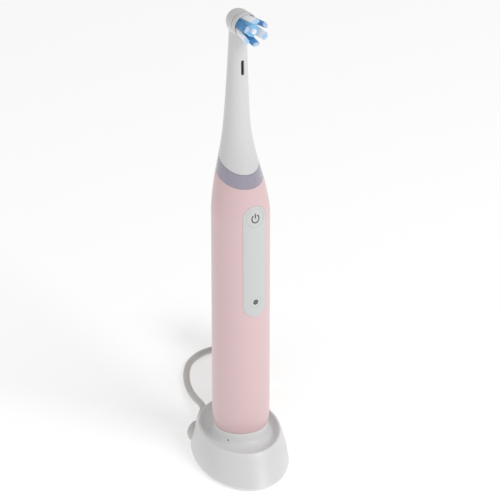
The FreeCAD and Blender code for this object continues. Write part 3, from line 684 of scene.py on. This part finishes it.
def mark(name, rows, material, body, joined=False):
    """A thin printed mark: rows of (x, z) places laid on the panel's front."""
    count = len(rows[0])
    faces, points = [], []
    for lift in (MARK_SINK, MARK_LIFT):
        for row in rows:
            for x, z in row:
                hit = front.ray_cast(Vector((x, -40, z)) * MM, Vector((0, 1, 0)))[0]
                points.append((x, hit.y / MM + lift, z))
    size = len(rows) * count
    lines = len(rows) if joined else len(rows) - 1
    for row in range(lines):
        after = (row + 1) % len(rows)
        for spot in range(count - 1):
            quad = [row * count + spot, row * count + spot + 1,
                    after * count + spot + 1, after * count + spot]
            faces.append(quad)
            faces.append([size + index for index in reversed(quad)])
        for spot in (0, count - 1):
            low, high = row * count + spot, after * count + spot
            faces.append([low, high, size + high, size + low])
    if not joined:
        for row in (0, len(rows) - 1):
            for spot in range(count - 1):
                low, high = row * count + spot, row * count + spot + 1
                faces.append([low, high, size + high, size + low])
    item = mesh_piece(name, points, faces, smooth=False)
    face_out(item.data)
    item.data.materials.append(material)
    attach(item, body)


def arc_rows(middle, inner, outer, start, end, steps):
    """Rows across a ring's width, from one angle to another; a whole turn has no row twice."""
    rows = []
    gaps = steps if end - start >= 360 else steps - 1
    for step in range(steps):
        angle = math.radians(start + (end - start) * step / gaps)
        rows.append([(radius * math.sin(angle), middle + radius * math.cos(angle))
                     for radius in np.linspace(inner, outer, 4)])
    return rows


mark("power_mark_ring", arc_rows(POWER_MARK_HEIGHT, 1.85, 2.5, 32, 328, 48),
     icon_grey, "power_button")
mark("power_mark_bar",
     [[(x, z) for x in (-0.33, -0.1, 0.1, 0.33)] for z in np.linspace(153.6, 156.3, 8)],
     icon_grey, "power_button")
mark("mode_mark_ring", arc_rows(MODE_HEIGHT, 0.85, 1.5, 0, 360, 40),
     icon_grey, "mode_button", joined=True)
mark("mode_mark_dot", arc_rows(MODE_HEIGHT, 0.04, 0.84, 0, 360, 40),
     icon_mid, "mode_button", joined=True)

# ---------------------------------------------------------------- charger

CHARGER_TURN = math.radians(-16)


def charger_ring(height, half, reach, ahead, side):
    """An oval at one height, turned with the charger."""
    ring = []
    for spot in range(AROUND):
        angle = 2 * math.pi * spot / AROUND
        x, y = side + half * math.cos(angle), ahead + reach * math.sin(angle)
        ring.append((x * math.cos(CHARGER_TURN) - y * math.sin(CHARGER_TURN),
                     x * math.sin(CHARGER_TURN) + y * math.cos(CHARGER_TURN), height))
    return ring


# (height, half width, half length, middle y, middle x); the outer wall alone is smoothed
OUTER_WALL = [
    (1.6, 25.95, 39.9, -3, -1.5), (2.4, 26.0, 40, -3, -1.5), (8.35, 24.9, 36.6, -1, -1.05),
    (15.6, 22.45, 31.3, 1, -0.6), (17.6, 21.6, 30.0, 1.4, -0.5),
]
RIM_AND_BOWL = [
    (16.15, 22.25, 31.05, 1, -0.6), (16.5, 21.95, 30.8, 1, -0.6), (16.68, 21.6, 30.45, 1, -0.6),
    (16.7, 21.25, 30.1, 1, -0.6), (16.55, 20.9, 29.75, 1, -0.6), (16.15, 20.65, 29.4, 1, -0.6),
    (15.3, 20.25, 28.8, 1, -0.55), (14.5, 19.75, 27.8, 1, -0.5), (13.9, 19.2, 26.5, 1, -0.45),
    (13.5, 18.65, 24.9, 0.9, -0.35), (13.3, 18.1, 22.8, 0.8, -0.25), (13.3, 17.65, 20.8, 0.5, -0.15),
    (13.6, 17.25, 18.9, 0.2, -0.05), (14.2, 16.8, 17.4, 0, 0), (15.1, 16.3, 16.4, 0, 0),
    (16.3, 15.8, 15.8, 0, 0), (17.6, 15.4, 15.4, 0, 0), (19.0, 15.15, 15.15, 0, 0),
    (19.8, 15.0, 15.0, 0, 0), (20.15, 14.85, 14.85, 0, 0), (20.3, 14.5, 14.5, 0, 0),
    (20.3, 13.8, 13.8, 0, 0), (20.1, 13.5, 13.5, 0, 0), (16.9, 13.4, 13.4, 0, 0),
    (16.45, 13.0, 13.0, 0, 0), (16.4, 6.0, 6.0, 0, 0), (16.7, 5.2, 5.2, 0, 0),
    (17.4, 5.0, 5.0, 0, 0), (32.2, 5.0, 5.0, 0, 0), (32.8, 4.75, 4.75, 0, 0),
    (33.15, 4.1, 4.1, 0, 0), (33.2, 0.4, 0.4, 0, 0),
]
UNDERSIDE = [
    (32.2, 0.4, 0.4, 0, 0), (32.2, 3.7, 3.7, 0, 0), (31.7, 4.1, 4.1, 0, 0),
    (15.2, 4.1, 4.1, 0, 0), (14.6, 4.8, 4.8, 0, 0), (14.6, 12.4, 12.4, 0, 0),
    (14.2, 13.1, 13.1, 0, 0), (10.8, 13.2, 13.2, 0, 0), (10.3, 13.8, 13.9, 0, 0),
    (10.3, 17.6, 25.0, 1, -0.6), (9.8, 20.2, 30.2, 1, -0.6), (8.35, 22.6, 34.3, -1, -1.05),
    (2.4, 23.7, 37.7, -3, -1.5), (0.8, 23.7, 37.7, -3, -1.5), (0.8, 25.0, 39.0, -3, -1.5),
    (1.0, 25.5, 39.5, -3, -1.5),
]


DRAIN_ANGLE, DRAIN_HEIGHT, DRAIN_RADIUS = math.radians(-147), 16.0, 0.5
DRAIN_FROM, DRAIN_TO = 14.0, 18.0


def drain_tool():
    """A short rod through the seat's wall, which cuts the drain hole."""
    out = (math.cos(DRAIN_ANGLE), math.sin(DRAIN_ANGLE))
    across = Vector((-out[1], out[0], 0))
    rings = [round_ring(Vector((reach * out[0], reach * out[1], DRAIN_HEIGHT)), across, DRAIN_RADIUS, 16)
             for reach in (DRAIN_FROM, DRAIN_TO)]
    # the drain hole's cut walls take the dark painted shade
    return skin_between("drain_tool", rings, painted_hollow_shade, None)


charger = skin_between(
    "charger_shell",
    [charger_ring(*row) for row in UNDERSIDE]
    + [charger_ring(height, *table_at(OUTER_WALL, height)) for height in np.linspace(2.4, 15.6, 16)]
    + [charger_ring(*row) for row in RIM_AND_BOWL],
    base_white, None,
)
cut_away(charger, drain_tool())
crease(charger, 45)
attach(charger, "charger")
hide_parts("charger_housing")


def along_cord(name, middle, heading, profile, material):
    """A turned piece along a level direction; the profile is (distance, radius)."""
    across = Vector((heading.y, -heading.x, 0))
    rings = [round_ring(middle + heading * distance, across, radius, 40) for distance, radius in profile]
    return skin_between(name, rings, material, "charger")


EXIT = TURN - math.radians(7.5)
exit_way = Vector((-math.sin(EXIT), math.cos(EXIT), 0))
LUG = lay(-24.2, 9.7, 6.2)
LUG_PROFILE = [
    (-5.68, 0.3), (-5.5, 1.5), (-4.9, 2.9), (-3.9, 4.15), (-2.5, 5.1), (-1.0, 5.6), (0.2, 5.7),
    (0.9, 5.6), (1.2, 5.2), (1.5, 5.15), (1.8, 5.45), (2.9, 5.3), (3.2, 4.9), (3.5, 4.85),
    (3.8, 5.1), (4.9, 4.85), (5.2, 4.4), (5.5, 4.3), (6.0, 4.0), (7.0, 3.3), (7.4, 2.7),
]
RIB_STEP, RIB_RADIUS, RIB_TAPER = 1.9, 2.55, 0.05
RIB_SHAPE = ((0.0, 0.35), (0.25, 0.05), (0.6, 0.0), (1.1, 0.0), (1.4, 0.05), (1.65, 0.35))
RIBS = [(7.6 + RIB_STEP * rib + part, RIB_RADIUS - RIB_TAPER * rib - drop)
        for rib in range(8) for part, drop in RIB_SHAPE]
lug = along_cord("lug_bulb", LUG, exit_way, LUG_PROFILE, cord_grey)
crease(lug, 60)
relief = along_cord("cord_relief", LUG, exit_way,
                    [(1.0, 2.2)] + RIBS + [(22.9, 2.25), (23.35, 1.95)], cord_grey)
crease(relief, 60)
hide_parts("strain_relief")

# ---------------------------------------------------------------- tie and plug


def tie_path(half, low, high, corner, back):
    """A round-cornered loop around the folded lead."""
    ring = []
    for spot in range(64):
        angle = 2 * math.pi * (spot + 0.5) / 64
        x, z = math.cos(angle), math.sin(angle)
        side = math.copysign(half - corner, x) + corner * x
        up = (low + high) / 2 + math.copysign((high - low) / 2 - corner, z) + corner * z
        ring.append(lay(side, back, up))
    return ring


TIE_FRONT, TIE_BACK = 65.5, 74.5
TIE_HALF, TIE_LOW, TIE_TOP, TIE_CORNER = 15.7, 0.02, 21.28, 3
tie = skin_between(
    "lead_tie",
    [tie_path(TIE_HALF - inset, TIE_LOW + inset, TIE_TOP - inset, TIE_CORNER - inset, back)
     for inset, back in (
        (0.0, TIE_FRONT + 0.25), (0.0, 68), (0.0, 70), (0.0, 72), (0.0, TIE_BACK - 0.25), (0.3, TIE_BACK),
        (0.58, TIE_BACK - 0.25), (0.58, TIE_FRONT + 0.25), (0.3, TIE_FRONT),
    )],
    tie_white, "charger", closed=True,
)
crease(tie, 50)
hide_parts("cord_tie")

PLUG_HEIGHT = 28.15
# (distance back, half width, half height, power of the superellipse)
PLUG_SECTIONS = [
    (72.05, 2.3, 2.3, 2.0), (72.3, 2.6, 2.6, 2.0), (84.0, 4.0, 4.0, 2.0), (84.6, 4.5, 4.5, 2.0),
    (86.5, 4.6, 4.6, 2.0), (90.5, 4.9, 4.7, 2.1), (93.5, 7.5, 5.2, 2.2), (95.6, 12.5, 6.2, 2.3),
    (97.0, 15.4, 6.75, 2.4), (98.5, 16.3, 6.85, 2.5), (102, 16.4, 6.85, 2.5), (106.0, 16.4, 6.85, 2.5),
    (107.3, 16.1, 6.6, 2.5), (107.9, 15.5, 6.1, 2.5), (108, 14.6, 5.4, 2.5),
]


def plug_ring(back, half, high, power, middle=0.0):
    """A superellipse across the plug, its middle to one side for a pin."""
    ring = []
    for turn in np.linspace(0, 2 * math.pi, 72, endpoint=False):
        side = math.copysign(abs(math.cos(turn)) ** (2 / power), math.cos(turn)) * half
        up = math.copysign(abs(math.sin(turn)) ** (2 / power), math.sin(turn)) * high
        ring.append(lay(middle + side, back, PLUG_HEIGHT + up))
    return ring


plug = skin_between("lead_plug", [plug_ring(*row) for row in PLUG_SECTIONS], cord_grey, "charger")
crease(plug, 40)
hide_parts("plug_body")

PIN_CENTRE = 9.3
# (distance back, radius)
PIN = [(107.5, 2.0), (117.3, 2.0), (117.4, 1.94), (125.6, 1.94), (126.3, 1.75), (126.8, 1.3),
       (127.0, 0.5)]


def pin_pair(name, profile, material):
    """Two pins in one piece."""
    halves = []
    for side in (-PIN_CENTRE, PIN_CENTRE):
        rings = [plug_ring(back, radius, radius, 2.0, side) for back, radius in profile]
        halves.append(skin_between(f"{name}_{side}", rings, material, None))
    both = bmesh.new()
    for half in halves:
        both.from_mesh(half.data)
    item = halves[0]
    both.to_mesh(item.data)
    both.free()
    bpy.data.objects.remove(halves[1])
    item.name = name
    crease(item, 40)
    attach(item, "charger")
    return item


pins = pin_pair("lead_pins", PIN, nickel)
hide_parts("plug_pins")

CAD_FINISH = {
    "handle_shell": shell_pink, "control_panel": panel_soft, "power_button": panel_soft,
    "mode_button": panel_soft, "light_ring": ring_lilac, "handle_nose": neck_white,
    "nose_seal": seal_grey, "shaft_seal": seal_grey, "base_cap": cap_pink, "base_seal": seal_grey,
    "charge_bobbin": inner_white, "charge_coil": copper_wire, "chassis": inner_white,
    "battery_cell": cell_green, "battery_contacts": steel_plain, "main_board": board_green,
    "board_chips": chip_black, "tact_switches": chip_black, "led_board": board_green,
    "ring_leds": led_clear, "motor_housing": steel_plain, "motor_coil": copper_wire,
    "motor_springs": steel_plain, "drive_shaft": steel_plain, "motor_armature": ferrite_dark,
    "motor_magnets": magnet_plate, "brush_neck": neck_white, "carrier_pin": steel_plain,
    "neck_insert": inner_white, "link_magnet": magnet_plate, "link_rod": inner_white,
    "bristle_carrier": neck_white, "tufts_dark": bristle_blue, "tufts_pale": bristle_white,
    "tuft_whorl": bristle_sky, "tuft_core": bristle_core, "charger_housing": base_white,
    "charger_plate": base_white, "charger_pad": foot_rubber, "charger_core": ferrite_dark,
    "charger_bobbin": inner_white, "charger_coil": copper_wire, "charger_board": board_green,
    "charger_capacitors": can_blue, "charger_chips": chip_black, "charger_screws": steel_plain,
    "strain_relief": cord_grey, "power_cord": cord_grey, "cord_tail": cord_grey,
    "cord_hank": cord_grey, "cord_tie": tie_white, "plug_body": cord_grey, "plug_pins": nickel,
}
for name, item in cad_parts.items():
    item.data.materials.clear()
    item.data.materials.append(CAD_FINISH[name])

cord.data.materials.append(cord_grey)
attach(cord, "charger")
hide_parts("power_cord", "cord_tail", "cord_hank")

# ---------------------------------------------------------------- studio

FLOOR_HALF, FLOOR_GLOW, WORLD_GLOW = 20000, 0.32, 0.54
LAMP_AIM = Vector((0, 0, 0.13))

floor = mesh_piece(
    "floor",
    [(x * FLOOR_HALF, y * FLOOR_HALF, 0) for x, y in ((-1, -1), (1, -1), (1, 1), (-1, 1))],
    [(0, 1, 2, 3)], smooth=False,
)
floor_paper = finish_of("floor_paper", (250, 250, 250), 0.9, vary=0.003, mottle=4)
floor_shader = floor_paper.node_tree.nodes["Principled BSDF"]
floor_shader.inputs["Emission Color"].default_value = (1, 1, 1, 1)
floor_shader.inputs["Emission Strength"].default_value = FLOOR_GLOW
floor_shader.inputs["Specular IOR Level"].default_value = 0.0
floor.data.materials.append(floor_paper)

world = bpy.data.worlds.new("studio")
world.use_nodes = True
world.node_tree.nodes["Background"].inputs["Color"].default_value = (1, 1, 1, 1)
world.node_tree.nodes["Background"].inputs["Strength"].default_value = WORLD_GLOW
bpy.context.scene.world = world
bpy.context.scene.view_settings.view_transform = "Standard"


def lamp(name, spot, size, power):
    """A square soft light turned towards the middle of the object."""
    data = bpy.data.lights.new(name, "AREA")
    data.size = size
    data.energy = power
    item = link(name, data)
    item.location = spot
    item.rotation_euler = (LAMP_AIM - Vector(spot)).to_track_quat("-Z", "Y").to_euler()


lamp("key", (0.45, -1.3, 1.1), 0.8, 9.5)
lamp("side", (-1.3, 0.2, 0.7), 0.8, 0.7)
